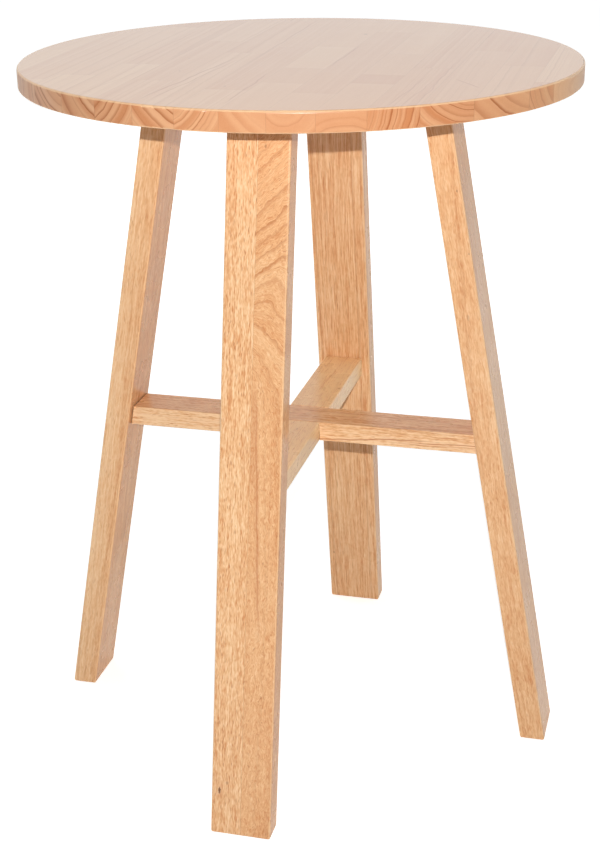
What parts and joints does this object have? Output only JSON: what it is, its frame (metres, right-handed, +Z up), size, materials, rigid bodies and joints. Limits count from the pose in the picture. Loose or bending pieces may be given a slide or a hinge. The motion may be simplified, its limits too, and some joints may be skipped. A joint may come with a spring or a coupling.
{
  "type": "round bar table",
  "caption": "Round wooden bar table: a glued stave top on splayed legs, tied by two crosses of halved rails.",
  "frame": {"origin": "on the floor, under the middle of the top", "axes": "+Z up, +X to the right and +Y to the back of the table as the picture shows it; the legs stand on the X and Y axes"},
  "size_m": [0.8, 0.8, 1.05],
  "materials": {
    "top_wood": "clear satin lacquer on pale rubberwood",
    "leg_wood": "clear satin lacquer on pale rubberwood",
    "rail_wood": "clear satin lacquer on pale rubberwood",
    "dowel_wood": "bare turned hardwood",
    "screw_steel": "zinc plated"
  },
  "bodies": {
    "root": {"top_stave_01": "top_wood", "top_stave_02": "top_wood", "top_stave_03": "top_wood", "top_stave_04": "top_wood", "top_stave_05": "top_wood", "top_stave_06": "top_wood", "top_stave_07": "top_wood", "top_stave_08": "top_wood", "top_stave_09": "top_wood", "top_stave_10": "top_wood", "top_stave_11": "top_wood", "top_stave_12": "top_wood", "top_stave_13": "top_wood", "top_stave_14": "top_wood", "front_leg_left_board": "leg_wood", "front_leg_right_board": "leg_wood", "right_leg": "leg_wood", "back_leg": "leg_wood", "left_leg": "leg_wood", "lower_rail_left_right": "rail_wood", "lower_rail_front_back": "rail_wood", "upper_rail_left_right": "rail_wood", "upper_rail_front_back": "rail_wood", "rail_dowels": "dowel_wood", "top_screws": "screw_steel", "lower_cross_screw": "screw_steel"}
  },
  "joints": []
}
